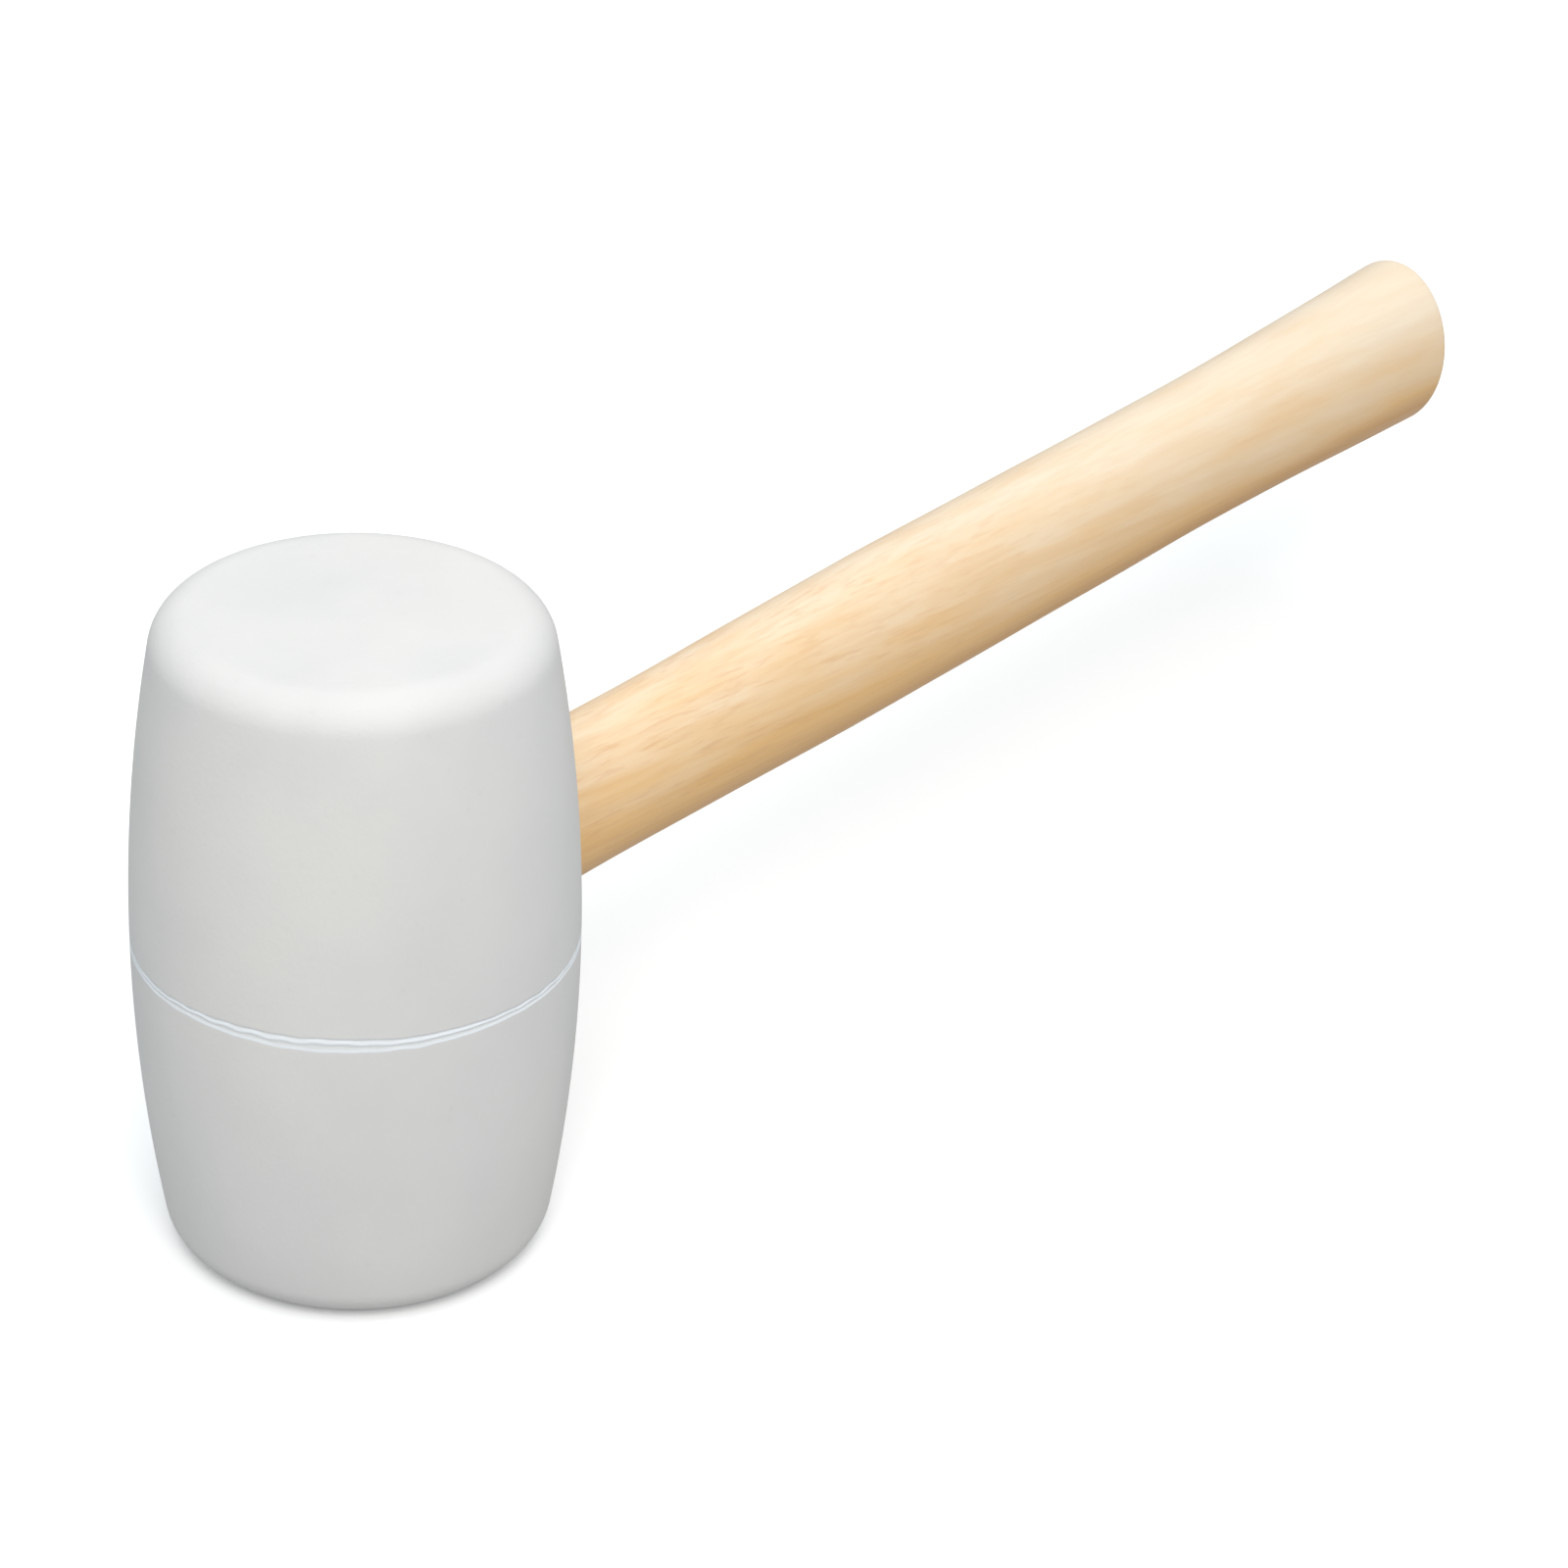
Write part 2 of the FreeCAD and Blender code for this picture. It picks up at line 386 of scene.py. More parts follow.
def socket_rings(mouth, settings, sizes, handle):
    """Rings of the socket from its rounded lip down the wall and across the floor.

    The mouth's oval is kept as a turn round the handle's axis. Each ring shrinks that oval by
    an inset and moves it towards the floor."""
    side = mouth[:, 1] / sizes["hole_width"]
    lift = (mouth[:, 2] - sizes["hole_middle"]) / sizes["hole_height"]
    floor = HANDLE_BOX[0].x - handle.cement_film
    lip = np.linspace(0, math.pi / 2, 6)[1:]
    insets = settings.lip_radius * np.sin(lip)
    depths = settings.lip_radius * (1 - np.cos(lip))
    starts = mouth[:, 0] - depths[:, None]
    rings = [shrunk_ring(run, side, lift, inset, sizes) for run, inset in zip(starts, insets)]
    start = rings[-1][:, 0]
    for part in np.linspace(0, 1, 8)[1:]:
        run = start + (floor - start) * part
        rings.append(shrunk_ring(run, side, lift, settings.lip_radius, sizes))
    centre = np.array((floor, 0, sizes["hole_middle"]))
    for part in (0.6, 0.3):
        rings.append(centre + (rings[-1] - centre) * part)
    return np.array(rings), centre


def shrunk_ring(run, side, lift, inset, sizes):
    """Ring at distance run along the handle, with its oval's two half sizes less the inset."""
    wide = side * (sizes["hole_width"] - inset)
    high = sizes["hole_middle"] + lift * (sizes["hole_height"] - inset)
    return np.stack((run, wide, high), -1)


def head_mesh(settings, handle):
    """All points of the head, its faces and the mask of the cut band's tone and painted highlight:
    two striking faces, the slit side, and the socket that opens from the slit."""
    columns = 300
    sizes = head_sizes(settings, handle)
    side, side_mask, first, last = side_points(settings, sizes, columns)
    low = face_points(sizes, False, columns)
    high = face_points(sizes, True, columns)[::-1]
    grid = np.concatenate((low, side, high))
    first, last = first + len(low), last + len(low)
    numbers = np.arange(grid.shape[0] * grid.shape[1]).reshape(grid.shape[:2])
    shut = np.ones(len(grid), bool)
    shut[first + 1 : last] = False
    numbers[shut, -1] = numbers[shut, 0]
    rising = numbers[first : last + 1, 0]
    falling = numbers[first + 1 : last, -1][::-1]
    mouth = np.concatenate((rising, falling))
    points = grid.reshape(-1, 3)
    rings, floor_centre = socket_rings(points[mouth], settings, sizes, handle)
    ring_numbers = len(points) + np.arange(rings.shape[0] * rings.shape[1]).reshape(rings.shape[:2])
    loops = closed(np.concatenate((mouth[None, :], ring_numbers)))
    centres = np.array(((0, 0, sizes["foot"]), (0, 0, sizes["top"]), floor_centre))
    points = np.concatenate((points, rings.reshape(-1, 3), centres))
    foot, top, floor = len(points) - 3, len(points) - 2, len(points) - 1
    faces = [
        strip_faces(numbers),
        strip_faces(loops)[:, ::-1],
        fan_faces(numbers[0], foot)[:, ::-1],
        fan_faces(numbers[-1], top),
        fan_faces(loops[-1], floor)[:, ::-1],
    ]
    mask = np.zeros(len(points))
    mask[numbers[len(low) : len(low) + len(side)]] = side_mask
    return drop_unused(points, faces, mask)


def drop_unused(points, faces, mask):
    """The same mesh without the points that no face uses, renumbered in order."""
    used = np.unique(np.concatenate([group.ravel() for group in faces]))
    order = np.full(len(points), -1)
    order[used] = np.arange(len(used))
    return points[used], [order[group] for group in faces], mask[used]


# ---------------------------------------------------------------- handle

def handle_outline(settings):
    """Distance along the handle and half height, from the tenon's end to the butt's face.

    The neck and the grip are straight. The swell eases from one to the other, the flare is the
    same ease with its end tilted, and the butt's edge is a curve that starts along the handle
    and ends down the butt's face."""
    neck, grip = settings.neck_height / 2, settings.grip_height / 2
    butt = (HANDLE_BOX[1].z - HANDLE_BOX[0].z) / 2
    belly = HEAD_BOX[1].y
    butt_slope = 0.03
    tenon_end, reach = HANDLE_BOX[0].x, HANDLE_BOX[1].x
    neck_end = belly + settings.neck_length
    grip_start = neck_end + settings.swell_length
    butt_edge = reach - settings.butt_edge_length
    grip_end = butt_edge - settings.flare_length
    share_along = np.linspace(0, 1, 50)
    swell = neck + (grip - neck) * ease(share_along)
    tilt = butt_slope * settings.flare_length * (share_along**3 - share_along**2)
    flare = grip + (butt - grip) * ease(share_along) + tilt
    turned = np.linspace(0, 1, 14)
    edge_x = butt_edge + settings.butt_edge_length * (1 - (1 - turned) ** 2)
    edge_r = butt - settings.butt_edge_depth * turned**2
    tenon_x, tenon_r = tenon_outline(settings, tenon_end, belly - settings.neck_engagement, neck)
    run = [
        (tenon_x, tenon_r),
        (np.linspace(belly - settings.neck_engagement, neck_end, 30), np.full(30, neck)),
        (grip_start + (share_along[1:] - 1) * settings.swell_length, swell[1:]),
        (np.linspace(grip_start, grip_end, 40)[1:], np.full(39, grip)),
        (grip_end + share_along[1:] * settings.flare_length, flare[1:]),
        (edge_x[1:], edge_r[1:]),
    ]
    distance = np.concatenate([part[0] for part in run])
    half_height = np.concatenate([part[1] for part in run])
    return distance, half_height


def tenon_outline(settings, start, shoulder, neck):
    """Tenon from its chamfered end to its shoulder, with evenly spaced square ring grooves."""
    grooves, groove_width, groove_depth, chamfer = 4, 1.6 * MM, 0.8 * MM, 1.2 * MM
    full = neck - settings.cement_film
    middles = start + (shoulder - start) * np.arange(1, grooves + 1) / (grooves + 1)
    edges = middles[:, None] + groove_width / 2 * np.array((-1, -1, 1, 1))
    levels = np.tile((full, full - groove_depth, full - groove_depth, full), grooves)
    distance = np.concatenate(((start, start + chamfer), edges.ravel(), (shoulder,)))
    half_height = np.concatenate(((full - chamfer, full), levels, (full,)))
    return distance, half_height


def handle_mesh(settings):
    """The outline carried round an oval: one ring of points for each step of the outline, with
    a slight hand-sanded unevenness on the grip, and a centre point at each end."""
    columns = 160
    distance, half_height = handle_outline(settings)
    turn = np.linspace(0, FULL_TURN, columns, endpoint=False)[None, :]
    run = distance[:, None]
    centre = (HANDLE_BOX[0].z + HANDLE_BOX[1].z) / 2
    outside = ease((run - HEAD_BOX[1].y) / (10 * MM)) * ease((HANDLE_BOX[1].x - run) / (20 * MM))
    waves = np.sin(run * 62 + 2 * np.sin(turn)) + np.sin(run * 143 + 3 * turn)
    sanding = -0.03 * MM * outside * (2 + waves)
    high = half_height[:, None] + sanding
    wide = handle_width(high)
    points = np.stack(np.broadcast_arrays(run, wide * np.cos(turn), centre + high * np.sin(turn)), -1)
    numbers = closed(np.arange(points.shape[0] * columns).reshape(points.shape[:2]))
    ends = np.array(((distance[0], 0, centre), (distance[-1], 0, centre)))
    points = np.concatenate((points.reshape(-1, 3), ends))
    faces = [
        strip_faces(numbers)[:, ::-1],
        fan_faces(numbers[0], len(points) - 2),
        fan_faces(numbers[-1], len(points) - 1)[:, ::-1],
    ]
    return points, faces


def kerf_cutter(settings):
    """Block as high as the tenon, tapered from the spread mouth of the saw cut to its root."""
    over = 1 * MM
    thick = WEDGE_BOX[1].y
    taper = (thick - settings.kerf_width / 2) / settings.kerf_length
    start = HANDLE_BOX[0].x - over
    end = HANDLE_BOX[0].x + settings.kerf_length
    low, high = HANDLE_BOX[0].z, HANDLE_BOX[1].z
    points = [(start, thick + taper * over), (end, settings.kerf_width / 2)]
    outline = [(x, -y) for x, y in points] + [(x, y) for x, y in points[::-1]]
    corners = [(x, y, z) for z in (low, high) for x, y in outline]
    faces = [(3, 2, 1, 0), (4, 5, 6, 7), (0, 1, 5, 4), (1, 2, 6, 5), (2, 3, 7, 6), (3, 0, 4, 7)]
    mesh = bpy.data.meshes.new("kerf_cutter")
    mesh.from_pydata(corners, [], faces)
    cutter = bpy.data.objects.new("kerf_cutter", mesh)
    bpy.context.scene.collection.objects.link(cutter)
    return cutter


def cut_kerf(piece, settings):
    """Saws the kerf out of the tenon and keeps only the result."""
    cutter = kerf_cutter(settings)
    saw = piece.modifiers.new("kerf", "BOOLEAN")
    saw.operation = "DIFFERENCE"
    saw.solver = "EXACT"
    saw.object = cutter
    graph = bpy.context.evaluated_depsgraph_get()
    sawn = bpy.data.meshes.new_from_object(piece.evaluated_get(graph))
    places = np.empty((len(sawn.vertices), 3), np.float32)
    sawn.vertices.foreach_get("co", places.ravel())
    root = HANDLE_BOX[0].x + settings.kerf_length
    if np.abs(places[:, 0] - root).min() > 0.001 * MM:
        raise RuntimeError("the saw cut doesn't reach its root")
    piece.modifiers.clear()
    piece.data = sawn
    bpy.data.objects.remove(cutter)


# ---------------------------------------------------------------- shader nodes

def place(tree, kind, options=None, inputs=None):
    """Adds a node, sets its options, and gives each input a constant or another node's output."""
    node = tree.nodes.new(kind)
    for name, value in (options or {}).items():
        setattr(node, name, value)
    for key, value in (inputs or {}).items():
        if isinstance(value, bpy.types.NodeSocket):
            tree.links.new(value, node.inputs[key])
        else:
            node.inputs[key].default_value = value
    return node


def calculate(tree, operation, first, second=0.0):
    """Output of a Math node."""
    node = place(tree, "ShaderNodeMath", {"operation": operation}, {0: first, 1: second})
    return node.outputs[0]


def limits(tree, value, low, high, to_low=0.0, to_high=1.0):
    """Output of a Map Range node that clamps to its two ends."""
    inputs = {"Value": value, "From Min": low, "From Max": high, "To Min": to_low, "To Max": to_high}
    return place(tree, "ShaderNodeMapRange", {"clamp": True}, inputs).outputs[0]


def blend(tree, factor, first, second):
    """Output of a Mix node for colours."""
    inputs = {0: factor, 6: solid(first), 7: solid(second)}
    return place(tree, "ShaderNodeMix", {"data_type": "RGBA"}, inputs).outputs[2]


def solid(value):
    """A colour with full alpha, or a node's output as it is."""
    return value if isinstance(value, bpy.types.NodeSocket) else (*value, 1.0)


def stretch(tree, vector, scale):
    """Output of a Mapping node that scales a vector."""
    node = place(tree, "ShaderNodeMapping", None, {"Vector": vector, "Scale": scale})
    return node.outputs[0]


def noise(tree, vector, scale, detail=2.0):
    """Value of a Noise Texture, which stays close to 0.5."""
    inputs = {"Vector": vector, "Scale": scale, "Detail": detail}
    return place(tree, "ShaderNodeTexNoise", None, inputs).outputs["Fac"]


def new_group(name, inputs, outputs):
    """Empty node group with named float inputs and outputs, except that Vector is a vector."""
    tree = bpy.data.node_groups.new(name, "ShaderNodeTree")
    for socket, value in inputs.items():
        kind = "NodeSocketVector" if socket == "Vector" else "NodeSocketFloat"
        made = tree.interface.new_socket(socket, in_out="INPUT", socket_type=kind)
        if value is not None:
            made.default_value = value
    for socket in outputs:
        tree.interface.new_socket(socket, in_out="OUTPUT", socket_type="NodeSocketFloat")
    return tree, tree.nodes.new("NodeGroupInput").outputs, tree.nodes.new("NodeGroupOutput").inputs


def grain_group():
    """Wood grain along X: growth rings round a far pith, fine fibres, and short ray flecks.

    Rings are a sine of the distance from the pith, bent by slow noise. Fibres are noise
    stretched along the grain. Flecks are the peaks of a finer one, kept where a third is high."""
    values = {"Vector": None, "Ring Spacing": 6.0, "Fibre Scale": 900.0, "Fleck Amount": 0.5}
    tree, given, result = new_group("wood grain", values, ("Rings", "Fibres", "Flecks"))
    pith = stretch(tree, given["Vector"], (0.06, 1.0, 1.0))
    sway = noise(tree, stretch(tree, given["Vector"], (4.0, 30.0, 30.0)), 1.0, 2.0)
    parts = place(tree, "ShaderNodeSeparateXYZ", None, {0: pith}).outputs
    across = calculate(tree, "ADD", parts[1], 0.09)
    up = calculate(tree, "ADD", parts[2], 0.05)
    across_squared = calculate(tree, "MULTIPLY", across, across)
    up_squared = calculate(tree, "MULTIPLY", up, up)
    far = calculate(tree, "SQRT", calculate(tree, "ADD", across_squared, up_squared))
    far = calculate(tree, "ADD", far, parts[0])
    far = calculate(tree, "ADD", far, calculate(tree, "MULTIPLY", sway, 0.022))
    spacing = calculate(tree, "DIVIDE", FULL_TURN * 1000, given["Ring Spacing"])
    wave = calculate(tree, "SINE", calculate(tree, "MULTIPLY", far, spacing))
    strength = noise(tree, stretch(tree, given["Vector"], (9.0, 90.0, 90.0)), 1.0, 2.0)
    rings = calculate(tree, "MULTIPLY", limits(tree, wave, -1.0, 1.0), limits(tree, strength, 0.35, 0.7))
    tree.links.new(rings, result["Rings"])
    fibre_space = stretch(tree, given["Vector"], (0.035, 1.0, 1.0))
    fibre = noise(tree, fibre_space, given["Fibre Scale"], 3.0)
    tree.links.new(limits(tree, fibre, 0.4, 0.65), result["Fibres"])
    streak = noise(tree, stretch(tree, given["Vector"], (0.09, 1.0, 1.0)), 1400.0, 2.0)
    core = limits(tree, streak, 0.5, 0.7)
    patch = noise(tree, stretch(tree, given["Vector"], (0.25, 1.0, 1.0)), 160.0, 3.0)
    chosen = limits(tree, patch, 0.3, 0.6)
    flecks = calculate(tree, "MULTIPLY", core, chosen)
    flecks = calculate(tree, "MULTIPLY", flecks, given["Fleck Amount"])
    tree.links.new(flecks, result["Flecks"])
    return tree


def mottling_group():
    """Uneven finish: broad clouds, a fine grain, and sparse specks."""
    values = {"Vector": None, "Cloud Scale": 40.0, "Grain Scale": 900.0, "Speck Scale": 260.0}
    tree, given, result = new_group("surface mottling", values, ("Clouds", "Grain", "Specks"))
    sources = (("Clouds", "Cloud Scale", 3.0), ("Grain", "Grain Scale", 2.0))
    for output, scale, detail in sources:
        value = noise(tree, given["Vector"], given[scale], detail)
        tree.links.new(limits(tree, value, 0.3, 0.7), result[output])
    inputs = {"Vector": given["Vector"], "Scale": given["Speck Scale"]}
    cells = place(tree, "ShaderNodeTexVoronoi", {"feature": "F1"}, inputs)
    tone = place(tree, "ShaderNodeSeparateColor", None, {0: cells.outputs["Color"]}).outputs[0]
    rare = limits(tree, tone, 0.93, 0.96)
    dot = limits(tree, cells.outputs["Distance"], 0.3, 0.12)
    tree.links.new(calculate(tree, "MULTIPLY", rare, dot), result["Specks"])
    return tree


def shared_group(name, make):
    """The node group of that name, made the first time that it is asked for."""
    return bpy.data.node_groups.get(name) or make()


def use_group(tree, group, inputs):
    """Places a node group in a material and returns its outputs."""
    return place(tree, "ShaderNodeGroup", {"node_tree": group}, inputs).outputs


def new_material(name):
    """Material with one Principled shader, and its object coordinates."""
    material = bpy.data.materials.new(name)
    material.use_nodes = True
    tree = material.node_tree
    tree.nodes.clear()
    shader = tree.nodes.new("ShaderNodeBsdfPrincipled")
    output = tree.nodes.new("ShaderNodeOutputMaterial")
    tree.links.new(shader.outputs[0], output.inputs["Surface"])
    coordinates = tree.nodes.new("ShaderNodeTexCoord").outputs["Object"]
    return material, tree, shader, coordinates


def bumped(tree, shader, height, distance, strength=1.0):
    """Feeds a height to the shader's normal."""
    inputs = {"Height": height, "Distance": distance, "Strength": strength}
    node = place(tree, "ShaderNodeBump", None, inputs)
    tree.links.new(node.outputs[0], shader.inputs["Normal"])


# ---------------------------------------------------------------- materials

def rubber_material(settings):
    """Matte white rubber: faint clouds and yellowing, rare specks, a moulded skin, and paler
    trimmed flash, partly the cut rubber's tone and partly painted highlight."""
    material, tree, shader, coordinates = new_material("white_rubber")
    group = shared_group("surface mottling", mottling_group)
    finish = use_group(tree, group, {"Vector": coordinates, "Cloud Scale": 45.0, "Speck Scale": 420.0})
    shade = tuple(channel * 0.95 for channel in settings.rubber)
    base = blend(tree, finish["Clouds"], shade, settings.rubber)
    warmed = tuple(channel * tint for channel, tint in zip(settings.rubber, (1.02, 1.0, 0.97)))
    yellowing = limits(tree, noise(tree, coordinates, 22.0, 3.0), 0.42, 0.68, 0.0, 0.6)
    base = blend(tree, yellowing, base, warmed)
    base = blend(tree, calculate(tree, "MULTIPLY", finish["Specks"], 0.08), base, settings.grime)
    # Cut band: partly the cut rubber's tone, partly painted highlight along its burrs.
    trimmed = place(tree, "ShaderNodeAttribute", {"attribute_name": "trimmed"}).outputs["Fac"]
    base = blend(tree, trimmed, base, settings.cut_rubber_and_highlight)
    tree.links.new(base, shader.inputs["Base Color"])
    tree.links.new(limits(tree, finish["Clouds"], 0.0, 1.0, 0.62, 0.74), shader.inputs["Roughness"])
    shader.inputs["Specular IOR Level"].default_value = 0.35
    bumped(tree, shader, finish["Grain"], 0.00004, 0.5)
    return material


def beech_material(settings):
    """Satin beech: paler above, partly from its wood and partly from painted sheen, warmer below,
    and brown along the lower edge, partly wood tone and partly painted shade, with soft growth
    rings, and with fibres and tan ray flecks that grow stronger towards the head."""
    material, tree, shader, coordinates = new_material("beech")
    turn = (0.0, -settings.grain_slope, 0.0)
    slanted = place(tree, "ShaderNodeMapping", None, {"Vector": coordinates, "Rotation": turn}).outputs[0]
    group = shared_group("wood grain", grain_group)
    grain = use_group(tree, group, {"Vector": slanted, "Ring Spacing": 4.5, "Fleck Amount": 0.8})
    parts = place(tree, "ShaderNodeSeparateXYZ", None, {0: coordinates}).outputs
    near_head = limits(tree, parts[0], HANDLE_BOX[1].x, HEAD_BOX[1].y, 0.0, 1.0)
    middle = (HANDLE_BOX[0].z + HANDLE_BOX[1].z) / 2
    # Paler towards the top by height: partly the wood's tone, partly painted sheen from the light
    # overhead.
    below = limits(tree, parts[2], middle - 8 * MM, middle + 2 * MM, 0.0, 0.62)
    above = limits(tree, parts[2], middle + 4 * MM, middle + 15 * MM, 0.0, 0.48)
    paleness_and_sheen = calculate(tree, "ADD", below, above)
    patches = noise(tree, stretch(tree, slanted, (35.0, 220.0, 220.0)), 1.0, 3.0)
    patches = calculate(tree, "MULTIPLY", calculate(tree, "SUBTRACT", patches, 0.5), 0.9)
    paleness_and_sheen = calculate(tree, "ADD", paleness_and_sheen, patches)
    paleness_and_sheen = calculate(tree, "SUBTRACT", paleness_and_sheen, calculate(tree, "MULTIPLY", near_head, 0.4))
    base = blend(tree, limits(tree, paleness_and_sheen, 0.0, 1.0), settings.warm_wood, settings.pale_wood_and_sheen)
    # Brown along the lower edge by height: painted shade, partly wood tone. It is weaker near the head
    # and fades on the butt's face.
    edge = limits(tree, parts[2], middle - 5 * MM, middle - 9.5 * MM, 0.0, 1.0)
    edge = calculate(tree, "MULTIPLY", edge, limits(tree, near_head, 0.3, 1.0, 1.0, 0.55))
    butt = HANDLE_BOX[1].x
    edge = calculate(tree, "MULTIPLY", edge, limits(tree, parts[0], butt - 3 * MM, butt, 1.0, 0.15))
    base = blend(tree, edge, base, settings.dark_wood_and_shade)
    for name, at_butt, at_head in (("Rings", 0.1, 0.2), ("Fibres", 0.05, 0.22)):
        amount = limits(tree, near_head, 0.0, 1.0, at_butt, at_head)
        base = blend(tree, calculate(tree, "MULTIPLY", grain[name], amount), base, settings.dark_wood_and_shade)
    amount = limits(tree, near_head, 0.3, 0.9, 0.05, 0.7)
    base = blend(tree, calculate(tree, "MULTIPLY", grain["Flecks"], amount), base, settings.fleck)
    tree.links.new(base, shader.inputs["Base Color"])
    tree.links.new(limits(tree, grain["Fibres"], 0.0, 1.0, 0.36, 0.46), shader.inputs["Roughness"])
    shader.inputs["Specular IOR Level"].default_value = 0.4
    shader.inputs["Coat Weight"].default_value = 0.1
    shader.inputs["Coat Roughness"].default_value = 0.3
    bumped(tree, shader, grain["Fibres"], 0.00003, 0.4)
    return material


def wedge_material(settings):
    """Plain sawn hardwood, darker than the beech."""
    material, tree, shader, coordinates = new_material("wedge_hardwood")
    group = shared_group("wood grain", grain_group)
    grain = use_group(tree, group, {"Vector": coordinates, "Ring Spacing": 2.5, "Fibre Scale": 1400.0})
    light = tuple(min(1.0, channel * 1.5) for channel in settings.wedge_wood)
    base = blend(tree, grain["Rings"], light, settings.wedge_wood)
    base = blend(tree, calculate(tree, "MULTIPLY", grain["Fibres"], 0.5), base, settings.wedge_wood)
    tree.links.new(base, shader.inputs["Base Color"])
    shader.inputs["Roughness"].default_value = 0.8
    bumped(tree, shader, grain["Fibres"], 0.0001)
    return material


def cement_material(settings):
    """Cured amber cement with an uneven, slightly glossy skin."""
    material, tree, shader, coordinates = new_material("rubber_cement")
    group = shared_group("surface mottling", mottling_group)
    finish = use_group(tree, group, {"Vector": coordinates, "Cloud Scale": 160.0})
    dark = tuple(channel * 0.7 for channel in settings.cement)
    base = blend(tree, finish["Clouds"], dark, settings.cement)
    tree.links.new(base, shader.inputs["Base Color"])
    tree.links.new(limits(tree, finish["Clouds"], 0.0, 1.0, 0.35, 0.55), shader.inputs["Roughness"])
    bumped(tree, shader, finish["Grain"], 0.00006)
    return material


# ---------------------------------------------------------------- operators

class MALLET_OT_rubber_head(bpy.types.Operator):
    """Builds the moulded head with its trimmed parting line and blind socket."""

    bl_idname = "mallet.rubber_head"
    bl_label = "Rubber head"

    def execute(self, context):
        settings = context.scene.mallet_head
        points, faces, mask = head_mesh(settings, context.scene.mallet_handle)
        piece = mesh_piece("moulded_head", points, faces, rubber_material(settings))
        # The mask holds the cut band's tone and its painted highlight.
        set_attribute(piece, "trimmed", mask)
        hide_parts("rubber_head")
        return {"FINISHED"}


class MALLET_OT_handle(bpy.types.Operator):
    """Builds the turned handle and saws the kerf in its tenon."""

    bl_idname = "mallet.handle"
    bl_label = "Handle"

    def execute(self, context):
        settings = context.scene.mallet_handle
        points, faces = handle_mesh(settings)
        piece = mesh_piece("turned_handle", points, faces, beech_material(settings))
        cut_kerf(piece, settings)
        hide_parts("handle")
        return {"FINISHED"}


class MALLET_OT_fixings(bpy.types.Operator):
    """Finishes the wedge and the cement that hold the tenon in the head."""

    bl_idname = "mallet.fixings"
    bl_label = "Wedge and cement"

    def execute(self, context):
        settings = context.scene.mallet_handle
        finishes = {"fox_wedge": wedge_material(settings), "cement": cement_material(settings)}
        for node, material in finishes.items():
            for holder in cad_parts[node].material_slots:
                holder.material = material
        return {"FINISHED"}


class MALLET_OT_studio(bpy.types.Operator):
    """Sets the camera, the pale floor and the soft light."""

    bl_idname = "mallet.studio"
    bl_label = "Studio"

    def execute(self, context):
        settings = context.scene.mallet_studio
        add_camera(context.scene, settings)
        add_floor(settings)
        add_lights(context.scene, settings)
        return {"FINISHED"}


# ---------------------------------------------------------------- studio

def direction(azimuth, elevation):
    """Unit vector towards a camera at this azimuth, from -Y towards +X, and this elevation."""
    level = math.cos(elevation)
    return Vector((math.sin(azimuth) * level, -math.cos(azimuth) * level, math.sin(elevation)))


def facing(back):
    """Turn that makes an object look back along this direction, with its top up."""
    right = Vector((0, 0, 1)).cross(back).normalized()
    up = back.cross(right)
    return Matrix((right, up, back)).transposed().to_4x4()


def middle_of_box():
    """Middle of the mallet's box."""
    return (CAD_BOX[0] + CAD_BOX[1]) / 2


def add_camera(scene, settings):
    """Camera on a ray from the point that it looks at, rolled about that ray."""
    lens = bpy.data.cameras.new("camera")
    lens.lens = settings.lens
    lens.sensor_width = 36.0
    lens.clip_end = 100.0
    camera = bpy.data.objects.new("camera", lens)
    scene.collection.objects.link(camera)
    target = middle_of_box() + Vector(settings.look_at)
    back = direction(settings.azimuth, settings.elevation)
    roll = Matrix.Rotation(settings.roll, 4, "Z")
    camera.matrix_world = Matrix.Translation(target + back * settings.distance) @ facing(back) @ roll
    scene.camera = camera


def floor_material(settings):
    """Pale matte floor, faintly clouded, that lights the mallet less than it looks."""
    material, tree, shader, coordinates = new_material("floor")
    tone = limits(tree, noise(tree, coordinates, 3.0), 0.3, 0.7)
    shade = tuple(channel * 0.99 for channel in settings.floor)
    seen = blend(tree, tone, shade, settings.floor)
    reflected = tuple(channel * settings.bounce for channel in settings.floor)
    ray = tree.nodes.new("ShaderNodeLightPath").outputs["Is Camera Ray"]
    tree.links.new(blend(tree, ray, reflected, seen), shader.inputs["Base Color"])
    tree.links.new(calculate(tree, "MULTIPLY", ray, settings.glow), shader.inputs["Emission Strength"])
    shader.inputs["Roughness"].default_value = 0.9
    shader.inputs["Specular IOR Level"].default_value = 0.1
    return material


def add_floor(settings):
    """Wide flat disc under the mallet."""
    corners, radius = 96, 12.0
    turn = np.linspace(0, FULL_TURN, corners, endpoint=False)
    level = np.full(corners, CAD_BOX[0].z)
    rim = np.stack((radius * np.cos(turn), radius * np.sin(turn), level), -1)
    mesh = bpy.data.meshes.new("floor")
    mesh.from_pydata(rim.tolist(), [], [list(range(corners))])
    mesh.materials.append(floor_material(settings))
    floor = bpy.data.objects.new("floor", mesh)
    bpy.context.scene.collection.objects.link(floor)


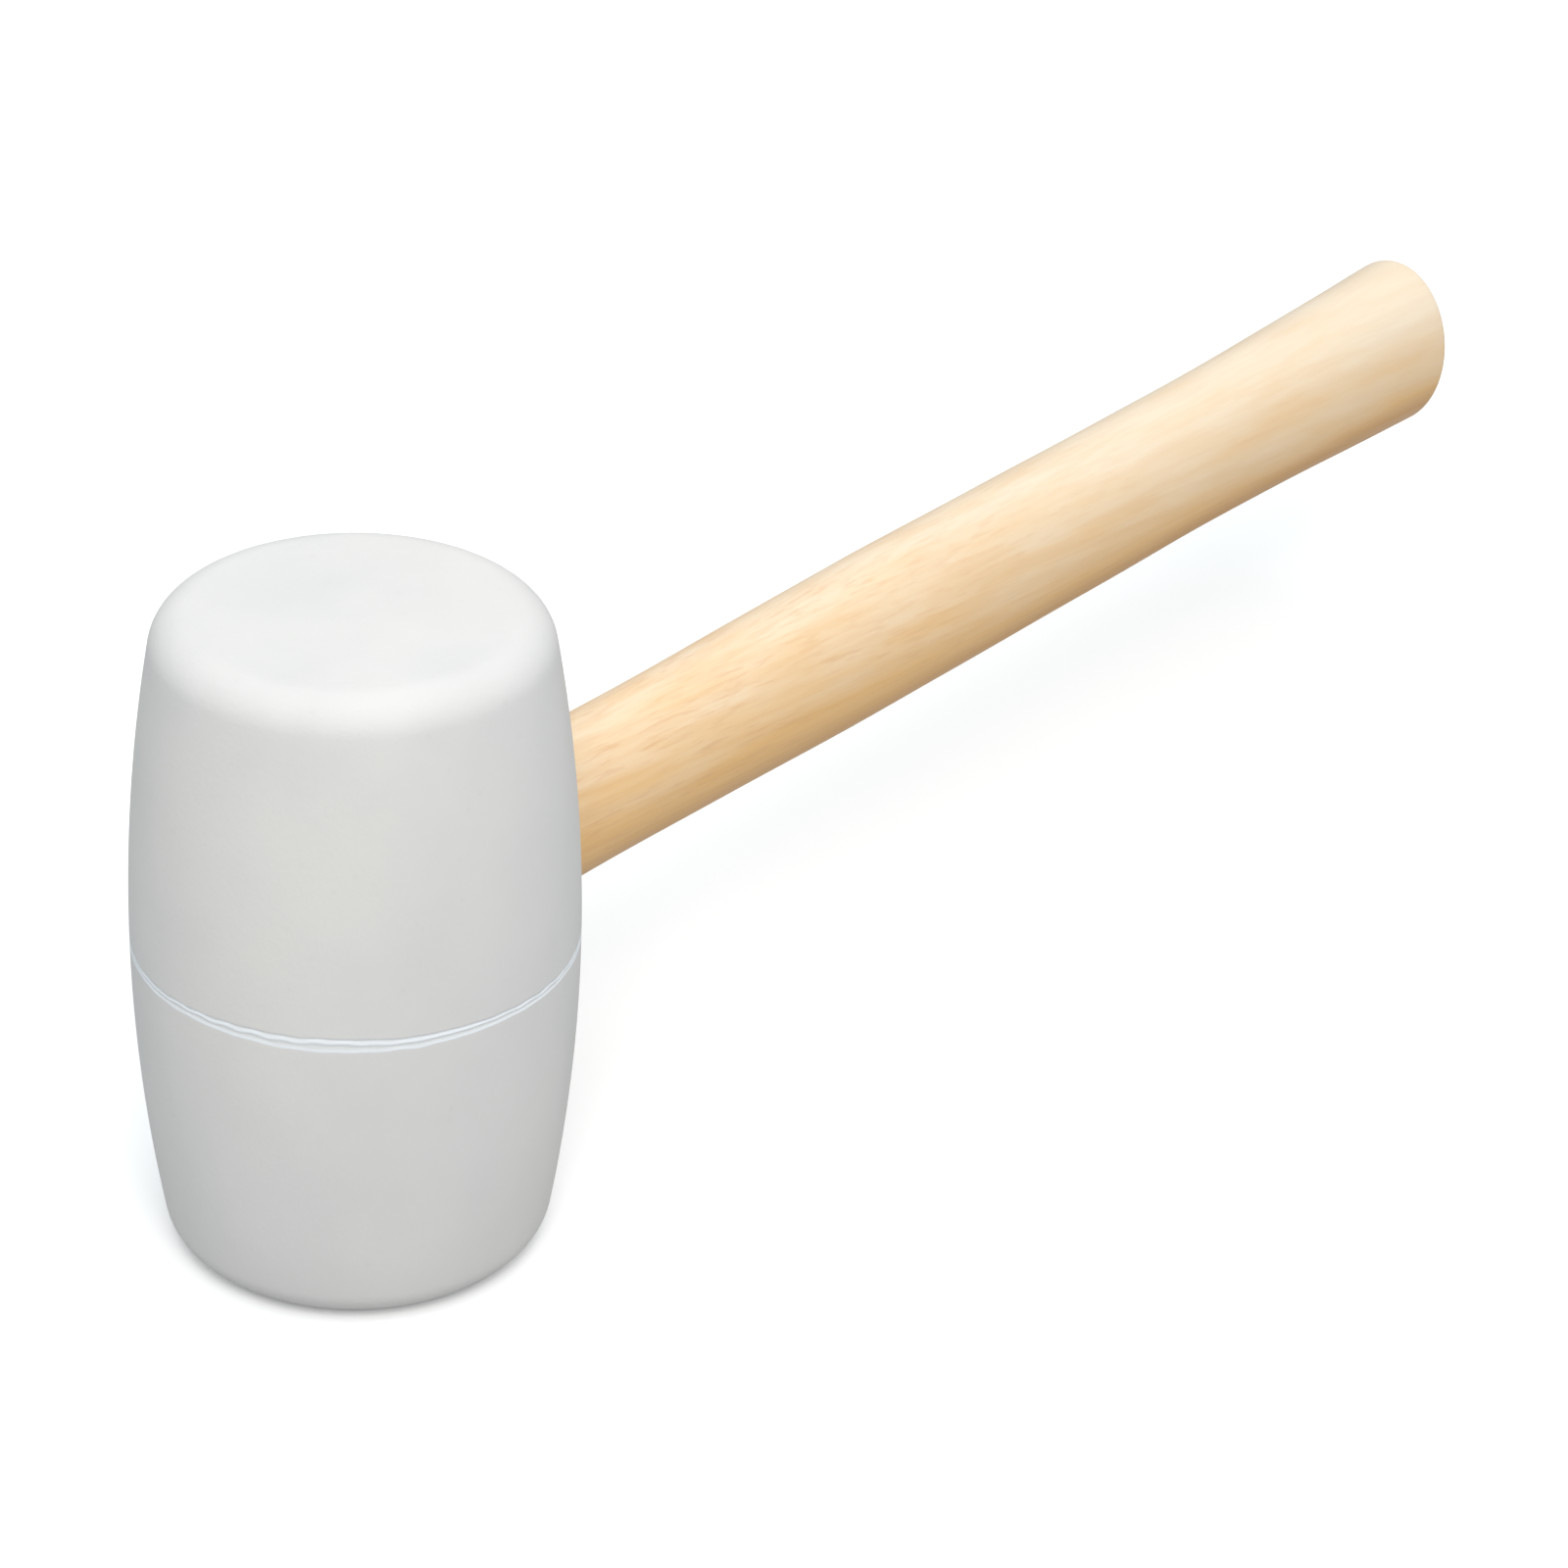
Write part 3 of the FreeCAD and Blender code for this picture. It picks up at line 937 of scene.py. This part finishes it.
def add_softbox(name, spot, size, watts, tint):
    """Square area light that faces the middle of the mallet from an azimuth, elevation and
    distance."""
    azimuth, elevation, distance = spot
    lamp = bpy.data.lights.new(name, "AREA")
    lamp.size = size
    lamp.energy = watts
    lamp.color = tint
    light = bpy.data.objects.new(name, lamp)
    bpy.context.scene.collection.objects.link(light)
    back = direction(math.radians(azimuth), math.radians(elevation))
    light.matrix_world = Matrix.Translation(middle_of_box() + back * distance) @ facing(back)


def add_lights(scene, settings):
    """Pale room, a softbox overhead and a softbox over the camera."""
    world = bpy.data.worlds.new("pale room")
    world.use_nodes = True
    room = world.node_tree.nodes["Background"]
    room.inputs["Color"].default_value = solid(settings.room)
    room.inputs["Strength"].default_value = settings.surround
    scene.world = world
    add_softbox("overhead softbox", (-52, 80, 1.2), 1.3, settings.overhead, settings.overhead_colour)
    add_softbox("front softbox", (-46, 45, 2.0), 1.0, settings.front, settings.front_colour)
    scene.view_settings.view_transform = "Standard"


# ---------------------------------------------------------------- add-on

class MALLET_PT_panel(bpy.types.Panel):
    """Settings and operators of the mallet."""

    bl_idname = "MALLET_PT_panel"
    bl_label = "Mallet"
    bl_space_type = "VIEW_3D"
    bl_region_type = "UI"
    bl_category = "Mallet"

    def draw(self, context):
        layout = self.layout
        for operator in OPERATORS:
            layout.operator(operator.bl_idname)
        for name in SETTINGS:
            settings = getattr(context.scene, name)
            box = layout.box()
            for field in settings.__annotations__:
                box.prop(settings, field)


OPERATORS = (MALLET_OT_rubber_head, MALLET_OT_handle, MALLET_OT_fixings, MALLET_OT_studio)
SETTINGS = {"mallet_head": HeadSettings, "mallet_handle": HandleSettings, "mallet_studio": StudioSettings}
CLASSES = (*SETTINGS.values(), *OPERATORS, MALLET_PT_panel)


def register():
    """Registers the classes and hangs the settings on the scene."""
    for item in CLASSES:
        bpy.utils.register_class(item)
    for name, group in SETTINGS.items():
        setattr(bpy.types.Scene, name, bpy.props.PointerProperty(type=group))


def unregister():
    """Takes back what register did."""
    for name in SETTINGS:
        delattr(bpy.types.Scene, name)
    for item in reversed(CLASSES):
        bpy.utils.unregister_class(item)


def main():
    """Builds the whole mallet and its studio."""
    register()
    bpy.ops.mallet.rubber_head()
    bpy.ops.mallet.handle()
    bpy.ops.mallet.fixings()
    bpy.ops.mallet.studio()


if __name__ == "__main__":
    main()
